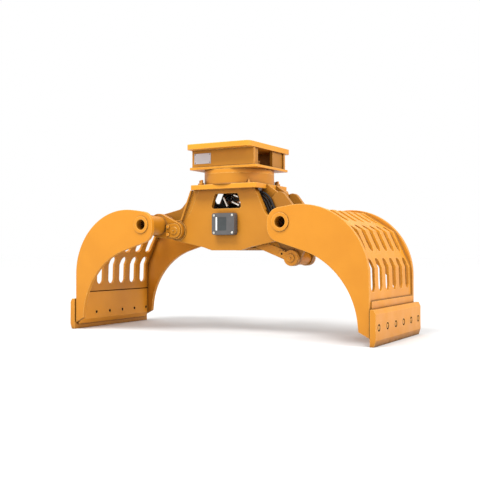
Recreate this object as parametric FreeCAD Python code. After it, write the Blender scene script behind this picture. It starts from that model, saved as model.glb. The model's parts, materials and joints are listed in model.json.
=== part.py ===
"""Multi grapple: a demolition and sorting grab with two slotted shells, a slewing head and one cylinder.

Millimetres, +Z up, +X to the right shell, front at low Y. The origin is on the ground under the
slewing axis. The part rests on its open cutting edges.
"""
import FreeCAD, Part
import math
import os

Vector = FreeCAD.Vector

# Shells
grab_width = 800.0            # over the side plates
side_plate = 25.0             # side plate thickness
tube_x = 500.0                # torsion tube axis, from the slewing axis
tube_z = 694.0                # torsion tube axis above the ground
jaw_radius = 421.0            # outer sweep of a side plate
jaw_centre_out = 122.0        # its centre, outwards of the tube axis
jaw_ease = 8.4021             # its sweep over the nose, where it runs into the round
mouth_toe_gap = 2.0           # inner sweep, inwards of the toe's corner
mouth_chin_gap = 26.0         # inner sweep below the chin
nose_radius = 86.0            # side plate round the tube
chin_radius = 88.0            # lower round of the side plate's nose
chin_drop = 30.0
toe_width = 63.0              # side plate at its lower end
toe_inner_z = 78.0
toe_outer_z = 46.0

back_plate = 16.0             # bent plate with the slots
back_inset = 11.0             # back plate inside the side plate's edge
back_foot_out = 2.0           # its foot, outwards of the jaw's sweep
bend_step = 34.0              # degrees between the bends
first_bend = 8.0              # degrees above the jaw centre
slot_width = 66.0
slot_margin = 70.0            # middle of an outer slot to the side plate
slots_in_row = 6
slot_above_bend = 7.5         # degrees
slot_below_bend = 18.5        # degrees

lip_thickness = 30.0
lip_top_z = 246.0
lip_bottom_z = 31.0
lip_bevel = 32.0
lip_proud = 6.0               # lip outside the side plates' edge
blade_thickness = 35.0
blade_height = 204.0
blade_overhang = 9.0          # blade beyond the side plates
blade_chamfer = 12.0
blade_bolts = 6
blade_bolt_margin = 17.5      # outer bolts to the side plate
blade_bolt_z = 104.0
blade_bolt_radius = 11.0
bolt_head_radius = 18.0
bolt_head_depth = 14.0
bolt_head_sunk = 1.0          # head below the blade's face
bolt_end_sunk = 4.0           # bolt end inside the lip
bolt_recess_gap = 3.0
socket_flats = 17.0
socket_depth = 8.0

tube_radius = 63.0
tube_wall = 13.0
ring_radius = 55.0            # end ring in the side plate
ring_bore = 34.0
ring_proud = 6.0
ring_spigot = 22.0

# Hinges between frame and shells
pivot_x = 370.0
pivot_drop = 35.0             # pivot below the tube axis
pin_radius = 35.0
pin_gap = 0.3                 # running clearance round a pin
frame_plate = 28.0
frame_outer_y = 170.0         # outer face of the front and rear frame plates
frame_boss_radius = 68.0
bush_wall = 8.0
bush_flange_radius = 60.0
bush_flange = 5.5
side_gap = 0.5                # running clearance beside a plate
ear_thickness = 30.0
ear_radius = 79.0
ear_tip_radius = 56.0
lever_inner_y = 78.0          # inner face of the lever plates
lever_thickness = 26.0
flag_thickness = 10.0
flag_radius = 47.0
flag_arm = 46.0
flag_bolt_spread = 25.0
pin_end_radius = 25.0
pin_end_proud = 6.0
keeper_bolt_radius = 9.0
keeper_head_height = 9.0

# Cylinder
closing_angle = 68.8          # degrees from open to shut
crank_radius = 145.0          # cylinder pin from the pivot
crank_pin_radius = 30.0
crank_boss_radius = 50.0
barrel_radius = 60.0
bore_radius = 48.0
barrel_start = 44.0           # barrel's closed end, from its pin
rod_showing = 80.16           # barrel's open end to the rod's pin, at rest
barrel_floor = 26.0
eye_half_width = 38.0
rod_radius = 30.0
gland_length = 40.0
gland_collar = 12.0
piston_length = 42.0
port_radius = 15.0
port_height = 14.0
port_root = 8.0               # port's foot in the barrel's wall
port_inset = 14.0             # closed end's port, from the floor of the bore
port_to_gland = 20.0
gland_step = 3.0              # collar's radius below the barrel's
piston_rest = 6.0             # piston from the floor of the bore at rest
rod_end = 20.0                # rod's end inside its eye, from the pin
rod_eye_step = 4.0            # rod's eye below the barrel's

# Levers and sync link
lever_round = 84.0            # lever plate round the tube
tip_radius = 46.0
right_tip_x = 348.0
right_tip_rise = 155.0        # above the tube axis
left_tip_x = 290.0
left_tip_rise = 150.0
lever_throat = 60.0           # concave round outside a lever
right_throat_in = 24.0        # its centre, inwards of the tube axis
right_throat_rise = 164.0     # its centre, above the tube axis
left_throat_in = 81.0
left_throat_rise = 166.0
link_low_x = 438.0            # link pin on the right shell
link_low_drop = 212.0
link_high_x = 196.3           # link pin on the left shell
link_high_rise = 34.6
link_pin_radius = 25.0
link_boss_radius = 43.0
strap_thickness = 16.0
strap_gap = 4.0               # lever plate to strap
strap_radius = 50.0
strap_half_width = 27.0
high_pin_radius = 20.0
slot_play = 4.0               # round the upper link pin
slot_travel = 65.0            # cross travel of the upper link pin in its eye
strap_eye_wall = 18.0
link_disc = 8.0
keeper_arm_in = 62.0          # keeper bolt hole, inwards of the link pin
keeper_arm_rise = 26.0
keeper_arm_radius = 20.0
keeper_hole_radius = 7.0

# Frame
frame_top_z = 949.5
frame_top_plate = 30.0
frame_top_half_x = 242.0
frame_top_half_y = 222.0
frame_top_corner = 18.0
frame_shoulder_x = 205.0      # front plate's half width under the top plate
slope_angle = 64.8            # degrees, sloped edge of the front plate
throat_x = 330.0              # concave round above the pivot boss
throat_rise = 100.0
throat_radius = 60.0
lobe_half_x = 128.0
lobe_drop = 165.0
lobe_radius = 25.0
lobe_throat_x = 178.0
lobe_throat_radius = 30.0
window_half_top = 89.0
window_half_bottom = 108.0
window_top_rise = 199.0
window_bottom_rise = 102.0
window_corner = 16.0
cover_thickness = 20.0
cover_web = 40.0
cover_leg = 165.0
cover_leg_width = 42.0
cover_reach = 76.0            # cover past the middle
gusset_thickness = 20.0       # gussets that stand out from the cover
gusset_tip_x = 325.0
gusset_tip_rise = 197.0       # above the tube axis
gusset_tip_height = 24.0
gusset_root_rise = 148.0
edge_rib_depth = 18.5
floor_plate = 15.0
floor_half_x = 88.0
floor_rise = 3.0              # floor plate above the lobe's lower edge

# Slewing drum and head
drum_radius = 228.0
drum_wall = 18.0
drum_height = 70.0
slew_ring_radius = 228.0
slew_ring_height = 26.0
race_radius = 178.0
race_gap = 2.0
roller_radius = 6.0
rollers = 30
gear_module = 6.0
tooth_tip = 0.8               # modules outside the pitch circle
tooth_root = 1.1              # modules inside the pitch circle
tooth_flank = 22.0            # degrees
ring_teeth = 48
pinion_teeth = 13
pinion_height = 18.0
tooth_backlash = 1.0
motor_radius = 42.0
motor_height = 58.0
motor_neck = 4.0              # flange beyond the motor's body
motor_snout = 12.0            # snout inside the motor's body
motor_neck_height = 12.0
pinion_shaft_radius = 12.0
pinion_shaft = 14.0
pinion_rest = 2.0             # pinion above the inner ring's lower face
swivel_radius = 58.0
swivel_drop = 30.0            # swivel below the frame's top plate
swivel_core_radius = 36.0
swivel_core_height = 78.0     # swivel core above the head's lower plate
swivel_floor = 20.0
swivel_flange = 22.0          # core flange beyond the body
swivel_flange_height = 14.0
swivel_port_radius = 10.0
swivel_port_drop = 24.0       # ports below the core's top
swivel_port_y = 18.0

head_floor_plate = 15.0
head_floor_half_x = 247.0
head_floor_half_y = 222.0
head_height = 109.0
head_plate = 20.0
head_side_half_x = 227.0
head_side_outer_y = 216.0
head_end_x = 217.0
head_opening_near = 144.0     # end opening, from the middle to the near plate
head_opening_far = 54.0
head_top_plate = 33.0
head_top_half_x = 233.0
head_top_half_y = 288.0
head_top_corner = 34.0
head_opening_radius = 110.0
mount_hole_radius = 13.0
mount_hole_pitch = 90.0
mount_holes_in_row = 5
mount_row_y = 240.0
name_plate_x = -148.0
name_plate_rise = 55.0
name_plate_length = 124.0
name_plate_height = 66.0
name_plate_thickness = 2.0

# Control box on the front plate
box_length = 164.0
box_height = 137.0
box_rise = 2.5
box_base_depth = 26.0
box_lid_depth = 14.0
box_corner = 14.0
box_screw_x = 67.0
box_screw_z = 55.0
box_screw_radius = 8.0
box_pane_length = 66.0
box_pane_height = 84.0
box_pane_x = -8.0
pane_recess = 2.0

# Hydraulics in the frame
hoses = 3
hose_radius = 7.5
hose_start_x = -18.0          # first hose at the swivel
hose_start_y = -64.0
hose_start_drop = 38.0        # first hose start below the frame's top plate
hose_step_x = 28.0
hose_step_z = 5.0
hose_lead_x = 36.0            # sideways from the swivel to the first bend
hose_rise = 24.0              # from the first bend to the plate's end
hose_y = 115.0                # hoses behind the front plate
hose_pitch = 18.5             # between hoses along the sloped edge
hose_slope_gap = 9.0          # inner hose from the sloped edge
hose_top_gap = 11.5           # upper hose below the frame's top plate
elbow_radius = 11.0
elbow_length = 26.0
hose_nut_flats = 17.0
hose_nut_length = 10.0
ferrule_radius = 9.5
ferrule_length = 32.0         # ferrule and nut
block_margin = 16.0           # block beyond the outer hoses
block_height = 20.0
block_depth = 37.0
block_rise = 8.0              # block's base above the tube axis
knee_rise = 66.0

# Small fasteners on the frame's top plate
stud_circle = 254.0
stud_angles = (36, 47, 216, 227)
stud_radius = 9.0
stud_height = 34.0
stud_nut_flats = 32.0
stud_nut_height = 15.0

pivot_z = tube_z - pivot_drop
jaw_centre_reach = jaw_radius - nose_radius + jaw_ease
jaw_centre = (tube_x + jaw_centre_out, tube_z - math.sqrt(jaw_centre_reach ** 2 - jaw_centre_out ** 2))
jaw_outer_x = jaw_centre[0] + jaw_radius
toe_inner_x = jaw_outer_x - toe_width
mouth_radius = toe_inner_x - mouth_toe_gap - tube_x
mouth_centre_z = tube_z - chin_drop - chin_radius - mouth_chin_gap - mouth_radius
side_outer_y = grab_width / 2
side_inner_y = side_outer_y - side_plate
slot_pitch = 2 * (side_inner_y - slot_margin) / (slots_in_row - 1)
blade_bolt_pitch = 2 * (side_inner_y - blade_bolt_margin) / (blade_bolts - 1)
frame_inner_y = frame_outer_y - frame_plate
ear_inner_y = frame_outer_y + bush_flange + side_gap
ear_outer_y = ear_inner_y + ear_thickness
lever_outer_y = lever_inner_y + lever_thickness
strap_inner_y = lever_outer_y + strap_gap
strap_outer_y = strap_inner_y + strap_thickness
crank_angle = math.radians(90 + closing_angle / 2)
crank_x = pivot_x + crank_radius * math.cos(crank_angle)
crank_z = pivot_z + crank_radius * math.sin(crank_angle)
link_low_z = tube_z - link_low_drop
link_high_z = tube_z + link_high_rise
drum_top_z = frame_top_z + drum_height
ring_top_z = drum_top_z + slew_ring_height
head_floor_z = ring_top_z + race_gap
head_base_z = head_floor_z + head_floor_plate
head_top_z = head_base_z + head_height
ring_pitch_radius = gear_module * ring_teeth / 2
pinion_pitch_radius = gear_module * pinion_teeth / 2
pinion_x = -(ring_pitch_radius - pinion_pitch_radius)
lip_outer_x = jaw_outer_x + lip_proud
swivel_low_z = frame_top_z - frame_top_plate - swivel_drop

os.makedirs("parts", exist_ok=True)


def point_on(centre, radius, angle):
    return (centre[0] + radius * math.cos(angle), centre[1] + radius * math.sin(angle))


def tangent_angle(first, second):
    """Angle of the outward normal of the line that touches two rounds, going counterclockwise."""
    dx, dz = second[0] - first[0], second[1] - first[1]
    distance = math.hypot(dx, dz)
    lean = math.acos((first[2] - second[2]) / distance)
    return math.atan2(dz, dx) - lean


def belt_wire(rounds):
    """Closed outline in the XZ plane round a chain of (x, z, radius), counterclockwise.

    A radius of 0 is a sharp corner, and a negative one a round that bends inwards.
    """
    count = len(rounds)
    angles = [tangent_angle(rounds[i], rounds[(i + 1) % count]) for i in range(count)]
    edges = []
    for i, (x, z, radius) in enumerate(rounds):
        arrive, leave = angles[i - 1], angles[i]
        start = point_on((x, z), radius, arrive)
        end = point_on((x, z), radius, leave)
        if radius:
            turn = (leave - arrive) % (2 * math.pi)
            if radius < 0:
                turn -= 2 * math.pi
            middle = point_on((x, z), radius, arrive + turn / 2)
            edges.append(Part.Arc(*[Vector(p[0], 0, p[1]) for p in (start, middle, end)]).toShape())
        following = rounds[(i + 1) % count]
        arrival = point_on(following, following[2], leave)
        edges.append(Part.makeLine(Vector(end[0], 0, end[1]), Vector(arrival[0], 0, arrival[1])))
    return Part.Wire(edges)


def plate(rounds, low_y, high_y):
    """Flat plate of a belt outline, from low_y to high_y."""
    solid = Part.Face(belt_wire(rounds)).extrude(Vector(0, high_y - low_y, 0))
    solid.translate(Vector(0, low_y, 0))
    return solid


def bar(x, z, radius, low_y, high_y):
    """Round bar along Y."""
    return Part.makeCylinder(radius, high_y - low_y, Vector(x, low_y, z), Vector(0, 1, 0))


def sleeve(x, z, outer, inner, low_y, high_y):
    return bar(x, z, outer, low_y, high_y).cut(bar(x, z, inner, low_y, high_y))


def column(x, y, radius, low_z, high_z):
    """Round bar along Z."""
    return Part.makeCylinder(radius, high_z - low_z, Vector(x, y, low_z))


def rod_along_x(y, z, radius, low_x, high_x):
    return Part.makeCylinder(radius, high_x - low_x, Vector(low_x, y, z), Vector(1, 0, 0))


def block(low, high):
    size = [b - a for a, b in zip(low, high)]
    return Part.makeBox(size[0], size[1], size[2], Vector(*low))


def rounded_slab(half_x, half_y, low_z, high_z, corner):
    slab = block((-half_x, -half_y, low_z), (half_x, half_y, high_z))
    upright = [e for e in slab.Edges if abs(e.Vertexes[0].Z - e.Vertexes[1].Z) > 0.5 * (high_z - low_z)]
    return slab.makeFillet(corner, upright)


def hex_bar(centre, direction, across, height):
    """Hexagonal nut or head, with its base at centre."""
    radius = across / math.sqrt(3)
    corners = [Vector(radius * math.cos(math.radians(60 * i)), radius * math.sin(math.radians(60 * i)), 0)
               for i in range(7)]
    prism = Part.Face(Part.makePolygon(corners)).extrude(Vector(0, 0, height))
    turn = FreeCAD.Rotation(Vector(0, 0, 1), Vector(*direction))
    prism.Placement = FreeCAD.Placement(Vector(*centre), turn)
    return prism


def flip_x(shape):
    return shape.mirror(Vector(0, 0, 0), Vector(1, 0, 0))


def flip_y(shape):
    return shape.mirror(Vector(0, 0, 0), Vector(0, 1, 0))


def half_turn(shape):
    turned = shape.copy()
    turned.rotate(Vector(0, 0, 0), Vector(0, 0, 1), 180)
    return turned


def fused(shapes):
    return shapes[0].multiFuse(shapes[1:]).removeSplitter()


def save(name, *solids):
    shape = solids[0] if len(solids) == 1 else Part.makeCompound(list(solids))
    shape.exportStep("parts/" + name + ".step")


def save_pair(name, shape_list):
    """The right shell's piece and its mirror image on the left shell."""
    save("right_" + name, *shape_list)
    save("left_" + name, *[flip_x(s) for s in shape_list])


def side_plate_rounds():
    return [
        (jaw_outer_x, toe_outer_z, 0),
        (jaw_centre[0], jaw_centre[1], jaw_radius),
        (tube_x, tube_z, nose_radius),
        (tube_x - nose_radius + chin_radius, tube_z - chin_drop, chin_radius),
        (tube_x, mouth_centre_z, -mouth_radius),
        (toe_inner_x, toe_inner_z, 0),
    ]


def back_plate_bends():
    """Outer bend points of the back plate, from the lip up to the tube."""
    radius = jaw_radius - back_inset
    bends = [(jaw_outer_x - back_inset + back_foot_out, lip_top_z)]
    for i in range(4):
        angle = math.radians(first_bend + i * bend_step)
        bends.append(point_on(jaw_centre, radius, angle))
    return bends


def back_plate_section():
    """Cross-section of the bent back plate."""
    outer = [Vector(x, 0, z) for x, z in back_plate_bends()]
    path = Part.makePolygon(outer)
    strip = path.makeOffset2D(-back_plate, 2, True, True, False)
    if strip.BoundBox.XMax > path.BoundBox.XMax + 1:
        strip = path.makeOffset2D(back_plate, 2, True, True, False)
    return Part.Face(strip) if strip.ShapeType == "Wire" else strip


def slot_cutter(row, y):
    """Cutter for one slot: it crosses the bend of its row."""
    bend = first_bend + row * bend_step
    mid_angle = math.radians(bend + (slot_above_bend - slot_below_bend) / 2)
    half_span = math.radians((slot_above_bend + slot_below_bend) / 2)
    half_length = jaw_radius * math.sin(half_span) - slot_width / 2
    reach = jaw_radius - back_inset - 3 * back_plate
    depth = 6 * back_plate
    cylinder = Part.makeCylinder(slot_width / 2, depth)
    ends = [cylinder.copy(), cylinder.copy()]
    ends[0].translate(Vector(0, half_length, 0))
    ends[1].translate(Vector(0, -half_length, 0))
    middle = block((-slot_width / 2, -half_length, 0), (slot_width / 2, half_length, depth))
    cutter = fused([middle] + ends)
    outward = Vector(math.cos(mid_angle), 0, math.sin(mid_angle))
    along = Vector(-math.sin(mid_angle), 0, math.cos(mid_angle))
    frame = FreeCAD.Rotation(Vector(0, 1, 0), along, outward, "ZYX")
    base = Vector(jaw_centre[0], y, jaw_centre[1]) + outward * reach
    cutter.Placement = FreeCAD.Placement(base, frame)
    return cutter


def make_back_plate():
    section = back_plate_section()
    solid = section.extrude(Vector(0, 2 * side_inner_y, 0))
    solid.translate(Vector(0, -side_inner_y, 0))
    first_y = -slot_pitch * (slots_in_row - 1) / 2
    cutters = [slot_cutter(row, first_y + i * slot_pitch) for row in range(3) for i in range(slots_in_row)]
    cutters.append(bar(tube_x, tube_z, tube_radius, -side_inner_y, side_inner_y))
    for low_y, high_y in ((lever_inner_y, lever_outer_y), (ear_inner_y, ear_outer_y)):
        notch = bar(tube_x, tube_z, lever_round, low_y, high_y)
        cutters.extend([notch, flip_y(notch)])
    cutters.append(block((tube_x, -side_inner_y, 0), (lip_outer_x, side_inner_y, lip_top_z)))
    pieces = solid.cut(Part.makeCompound(cutters)).Solids
    return max(pieces, key=lambda s: s.Volume)


def make_lip():
    inner_x = lip_outer_x - lip_thickness
    corners = [(lip_outer_x, lip_bottom_z), (lip_outer_x, lip_top_z), (inner_x, lip_top_z),
               (inner_x, lip_bottom_z + lip_bevel), (lip_outer_x - lip_thickness / 4, lip_bottom_z)]
    solid = plate([(x, z, 0) for x, z in corners], -side_inner_y, side_inner_y)
    holes = [blade_bolt_hole(y) for y in bolt_rows()]
    return solid.cut(Part.makeCompound(holes))


def bolt_rows():
    return [(i - (blade_bolts - 1) / 2) * blade_bolt_pitch for i in range(blade_bolts)]


def blade_bolt_hole(y):
    shank = rod_along_x(y, blade_bolt_z, blade_bolt_radius, lip_outer_x - lip_thickness, lip_outer_x + blade_thickness)
    depth = bolt_head_depth + bolt_head_sunk
    recess_x = lip_outer_x + blade_thickness - depth
    recess = rod_along_x(y, blade_bolt_z, bolt_head_radius + bolt_recess_gap, recess_x, recess_x + depth)
    return shank.fuse(recess)


def make_blade():
    """Bolt-on cutting plate with its outer edges chamfered."""
    outer_x = lip_outer_x + blade_thickness
    edge_x = outer_x - blade_chamfer
    corners = [(lip_outer_x, 0), (edge_x, 0), (outer_x, 3 * blade_chamfer),
               (outer_x, blade_height - 2 * blade_chamfer), (edge_x, blade_height), (lip_outer_x, blade_height)]
    half = side_outer_y + blade_overhang
    solid = plate([(x, z, 0) for x, z in corners], -half, half)
    holes = [blade_bolt_hole(y) for y in bolt_rows()]
    return solid.cut(Part.makeCompound(holes))


def make_blade_bolts():
    """Socket-head bolts: heads sunk in the blade, ends short of the lip's inner face."""
    bolts = []
    for y in bolt_rows():
        top_x = lip_outer_x + blade_thickness - bolt_head_sunk
        head_x = top_x - bolt_head_depth
        end_x = lip_outer_x - lip_thickness + bolt_end_sunk
        shank = rod_along_x(y, blade_bolt_z, blade_bolt_radius, end_x, head_x)
        head = rod_along_x(y, blade_bolt_z, bolt_head_radius, head_x, top_x)
        socket = hex_bar((top_x - socket_depth, y, blade_bolt_z), (1, 0, 0), socket_flats, socket_depth)
        bolts.append(shank.fuse(head).cut(socket))
    return bolts


def make_tube():
    return sleeve(tube_x, tube_z, tube_radius, tube_radius - tube_wall, -side_inner_y, side_inner_y)


def make_end_ring():
    """Ring in the front side plate, with a spigot in the tube."""
    outer_y = side_outer_y + ring_proud
    body = bar(tube_x, tube_z, ring_radius, side_inner_y, outer_y)
    spigot = bar(tube_x, tube_z, tube_radius - tube_wall, side_inner_y - ring_spigot, side_inner_y)
    return body.fuse(spigot).cut(bar(tube_x, tube_z, ring_bore, side_inner_y - ring_spigot, outer_y))


def make_side_plate():
    solid = plate(side_plate_rounds(), side_inner_y, side_outer_y)
    return solid.cut(bar(tube_x, tube_z, ring_radius, side_inner_y, side_outer_y))


def make_outer_ear():
    rounds = [(pivot_x, pivot_z, ear_tip_radius), (tube_x, tube_z, ear_radius)]
    solid = plate(rounds, ear_inner_y, ear_outer_y)
    solid = solid.cut(bar(tube_x, tube_z, tube_radius, ear_inner_y, ear_outer_y))
    return solid.cut(bar(pivot_x, pivot_z, pin_radius, ear_inner_y, ear_outer_y))


def finished_lever(rounds, holes):
    """Lever plate with its inward boss beside the cylinder's eye, and its bores."""
    low_y = eye_half_width + side_gap
    boss = bar(crank_x, crank_z, crank_boss_radius - 8, low_y, lever_inner_y)
    solid = fused([plate(rounds, lever_inner_y, lever_outer_y), boss])
    return solid.cut(Part.makeCompound([bar(x, z, radius, low_y, lever_outer_y) for x, z, radius in holes]))


def make_right_lever():
    rounds = [
        (link_low_x, link_low_z, strap_radius),
        (tube_x, tube_z, lever_round),
        (tube_x - right_throat_in, tube_z + right_throat_rise, -lever_throat),
        (right_tip_x, tube_z + right_tip_rise, tip_radius),
        (crank_x, crank_z, crank_boss_radius),
    ]
    holes = [(tube_x, tube_z, tube_radius), (pivot_x, pivot_z, pin_radius),
             (crank_x, crank_z, crank_pin_radius), (link_low_x, link_low_z, link_pin_radius)]
    return finished_lever(rounds, holes)


def make_left_lever():
    """Built on the right side and mirrored."""
    rounds = [
        (pivot_x, pivot_z, ear_tip_radius + 4),
        (tube_x, tube_z, lever_round),
        (tube_x - left_throat_in, tube_z + left_throat_rise, -lever_throat),
        (left_tip_x, tube_z + left_tip_rise, tip_radius),
        (link_high_x, link_high_z, 2 * high_pin_radius),
    ]
    holes = [(tube_x, tube_z, tube_radius), (pivot_x, pivot_z, pin_radius),
             (crank_x, crank_z, crank_pin_radius), (link_high_x, link_high_z, high_pin_radius)]
    return flip_x(finished_lever(rounds, holes))


def make_pivot_pin():
    """Flag pin: shank, flag plate and turned end, for the front hinge of the right shell."""
    shank = bar(pivot_x, pivot_z, pin_radius, lever_inner_y - 8, ear_outer_y)
    arm_x = pivot_x + flag_arm
    flag_rounds = [(pivot_x, pivot_z, flag_radius),
                   (arm_x, pivot_z - flag_bolt_spread, 2 * keeper_bolt_radius),
                   (arm_x, pivot_z + flag_bolt_spread, 2 * keeper_bolt_radius)]
    flag_top_y = ear_outer_y + flag_thickness
    flag = plate(flag_rounds, ear_outer_y, flag_top_y)
    end = bar(pivot_x, pivot_z, pin_end_radius, flag_top_y, flag_top_y + pin_end_proud)
    return fused([shank, flag, end])


def make_flag_bolts():
    base_y = ear_outer_y + flag_thickness
    return [hex_bar((pivot_x + flag_arm, base_y, pivot_z + side * flag_bolt_spread), (0, 1, 0),
                    2.4 * keeper_bolt_radius, keeper_head_height) for side in (-1, 1)]


def make_shells():
    side = make_side_plate()
    ring = make_end_ring()
    ear = make_outer_ear()
    pin = make_pivot_pin()
    bolts = make_flag_bolts()
    save_pair("side_plates", [side, flip_y(side)])
    save_pair("back_plate", [make_back_plate()])
    save_pair("lip_plate", [make_lip()])
    save_pair("cutting_plate", [make_blade()])
    save_pair("cutting_plate_bolts", make_blade_bolts())
    save_pair("torsion_tube", [make_tube()])
    save_pair("tube_end_rings", [ring, flip_y(ring)])
    save_pair("outer_ears", [ear, flip_y(ear)])
    save_pair("pivot_pins", [pin, flip_y(pin)])
    save_pair("pin_flag_bolts", bolts + [flip_y(b) for b in bolts])
    right = make_right_lever()
    left = make_left_lever()
    save("right_lever_plates", right, flip_y(right))
    save("left_lever_plates", left, flip_y(left))
    save("link_boss_tube", sleeve(link_low_x, link_low_z, link_boss_radius, link_pin_radius,
                                  -lever_inner_y, lever_inner_y))
    high_pin = bar(-link_high_x, link_high_z, high_pin_radius, lever_inner_y, strap_outer_y)
    save("upper_link_pins", high_pin, flip_y(high_pin))


def frame_plate_rounds():
    """Outline of the front frame plate, pivot boss to pivot boss."""
    right = [
        (lobe_half_x - lobe_radius, tube_z - lobe_drop + lobe_radius, lobe_radius),
        (lobe_throat_x, tube_z - lobe_drop - 9, -lobe_throat_radius),
        (pivot_x, pivot_z, frame_boss_radius),
        (throat_x, tube_z + throat_rise, -throat_radius),
        (frame_shoulder_x, frame_top_z - frame_top_plate, 0),
    ]
    left = [(-x, z, radius) for x, z, radius in reversed(right)]
    return right + left


def window_rounds():
    top = tube_z + window_top_rise - window_corner
    bottom = tube_z + window_bottom_rise + window_corner
    wide = window_half_bottom - window_corner
    narrow = window_half_top - window_corner
    return [(wide, bottom, window_corner), (narrow, top, window_corner),
            (-narrow, top, window_corner), (-wide, bottom, window_corner)]


def make_frame_plate():
    """Rear frame plate, with the bores of both pivots and the window."""
    solid = plate(frame_plate_rounds(), frame_inner_y, frame_outer_y)
    solid = solid.cut(plate(window_rounds(), frame_inner_y, frame_outer_y))
    for x in (-pivot_x, pivot_x):
        solid = solid.cut(bar(x, pivot_z, pin_radius + pin_gap + bush_wall, frame_inner_y, frame_outer_y))
    return solid


def make_bush():
    """Flanged bush of the right rear hinge."""
    bore = pin_radius + pin_gap
    body = bar(pivot_x, pivot_z, bore + bush_wall, frame_inner_y, frame_outer_y)
    flange = bar(pivot_x, pivot_z, bush_flange_radius, frame_outer_y, frame_outer_y + bush_flange)
    return body.fuse(flange).cut(bar(pivot_x, pivot_z, bore, frame_inner_y, frame_outer_y + bush_flange))


def on_slope(solid):
    """Lay a plate drawn flat (X outwards, Z down the slope) on the right sloped edge."""
    placed = solid.copy()
    placed.rotate(Vector(0, 0, 0), Vector(0, 1, 0), -(90 - slope_angle))
    placed.translate(Vector(frame_shoulder_x, 0, frame_top_z - frame_top_plate))
    return placed


def make_end_cover():
    """Cover of the right end: a web under the top plate and a leg down the rear plate."""
    lean = cover_thickness / math.tan(math.radians(slope_angle))
    web = block((0, -cover_reach, -cover_web), (cover_thickness, frame_outer_y, lean))
    leg = block((0, frame_outer_y - cover_leg_width, -cover_leg), (cover_thickness, frame_outer_y, lean))
    above = block((0, -frame_outer_y, frame_top_z - frame_top_plate), (2 * pivot_x, frame_outer_y, frame_top_z))
    cover = on_slope(fused([web, leg])).cut(above)
    return fused([cover, make_gusset(-cover_reach), make_gusset(cover_reach - gusset_thickness)])


def make_gusset(low_y):
    """Gusset from the cover past the end of the top plate, above the lever's sweep."""
    plate_low_z = frame_top_z - frame_top_plate
    tip_z = tube_z + gusset_tip_rise
    corners = [(frame_shoulder_x + cover_thickness / 2, tube_z + gusset_root_rise),
               (gusset_tip_x, tip_z - gusset_tip_height), (gusset_tip_x, tip_z),
               (frame_top_half_x, frame_top_z), (frame_top_half_x, plate_low_z),
               (frame_shoulder_x, plate_low_z)]
    solid = plate([(x, z, 0) for x, z in corners], low_y, low_y + gusset_thickness)
    inside = on_slope(block((-pivot_x, low_y, -pivot_x), (0, low_y + gusset_thickness, pivot_x)))
    return solid.cut(inside)


def make_edge_rib():
    """Rib behind the right sloped edge of the front plate."""
    rib = block((-cover_thickness, -frame_inner_y, -cover_leg + 15), (0, -frame_inner_y + edge_rib_depth, 10))
    above = block((0, -frame_outer_y, frame_top_z - frame_top_plate), (2 * pivot_x, frame_outer_y, frame_top_z))
    return on_slope(rib).cut(above)


def make_frame():
    rear = make_frame_plate()
    save("frame_rear_plate", rear)
    save("frame_front_plate", fused([flip_y(rear), make_edge_rib()]))
    top = rounded_slab(frame_top_half_x, frame_top_half_y, frame_top_z - frame_top_plate, frame_top_z,
                       frame_top_corner)
    motor_hole = column(pinion_x, 0, motor_radius, frame_top_z - frame_top_plate, frame_top_z)
    save("frame_top_plate", top.cut(column(0, 0, swivel_radius, 0, frame_top_z)).cut(motor_hole))
    cover = make_end_cover()
    save("frame_end_covers", cover, half_turn(cover))
    floor_z = tube_z - lobe_drop + floor_rise
    save("frame_floor_plate", block((-floor_half_x, -frame_inner_y, floor_z),
                                    (floor_half_x, frame_inner_y, floor_z + floor_plate)))
    bush = make_bush()
    save("pivot_bushes", bush, flip_x(bush), flip_y(bush), half_turn(bush))


def make_barrel():
    """Cylinder barrel with its eye on the left shell's pin."""
    start = -crank_x + barrel_start
    end = crank_x - rod_showing
    eye = bar(-crank_x, crank_z, crank_boss_radius, -eye_half_width, eye_half_width)
    body = rod_along_x(0, crank_z, barrel_radius, start, end)
    ports = []
    top_z = crank_z + barrel_radius
    for x in (start + barrel_floor + port_inset, end - gland_length - port_to_gland):
        ports.append(column(x, 0, port_radius, top_z - port_root, top_z + port_height))
    solid = fused([eye, body] + ports)
    solid = solid.cut(rod_along_x(0, crank_z, bore_radius, start + barrel_floor, end))
    return solid.cut(bar(-crank_x, crank_z, crank_pin_radius + pin_gap, -eye_half_width, eye_half_width))


def make_gland():
    end = crank_x - rod_showing
    spigot = rod_along_x(0, crank_z, bore_radius, end - gland_length, end)
    collar = rod_along_x(0, crank_z, barrel_radius - gland_step, end, end + gland_collar)
    hole = rod_along_x(0, crank_z, rod_radius + pin_gap, end - gland_length, end + gland_collar)
    return spigot.fuse(collar).cut(hole)


def piston_start():
    return -crank_x + barrel_start + barrel_floor + piston_rest


def make_rod():
    """Piston rod with its eye on the right shell's pin."""
    shank = rod_along_x(0, crank_z, rod_radius, piston_start(), crank_x - rod_end)
    eye = bar(crank_x, crank_z, crank_boss_radius - rod_eye_step, -eye_half_width, eye_half_width)
    return fused([shank, eye]).cut(bar(crank_x, crank_z, crank_pin_radius + pin_gap,
                                       -eye_half_width, eye_half_width))


def make_piston():
    start = piston_start()
    body = rod_along_x(0, crank_z, bore_radius - pin_gap, start, start + piston_length)
    return body.cut(rod_along_x(0, crank_z, rod_radius, start, start + piston_length))


def make_cylinder():
    save("cylinder_barrel", make_barrel())
    save("cylinder_gland", make_gland())
    save("cylinder_rod", make_rod())
    save("cylinder_piston", make_piston())
    pin = bar(crank_x, crank_z, crank_pin_radius, -lever_outer_y, lever_outer_y)
    save("right_cylinder_pin", pin)
    save("left_cylinder_pin", flip_x(pin))


def link_direction():
    dx, dz = link_low_x + link_high_x, link_low_z - link_high_z
    length = math.hypot(dx, dz)
    return dx / length, dz / length


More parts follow.
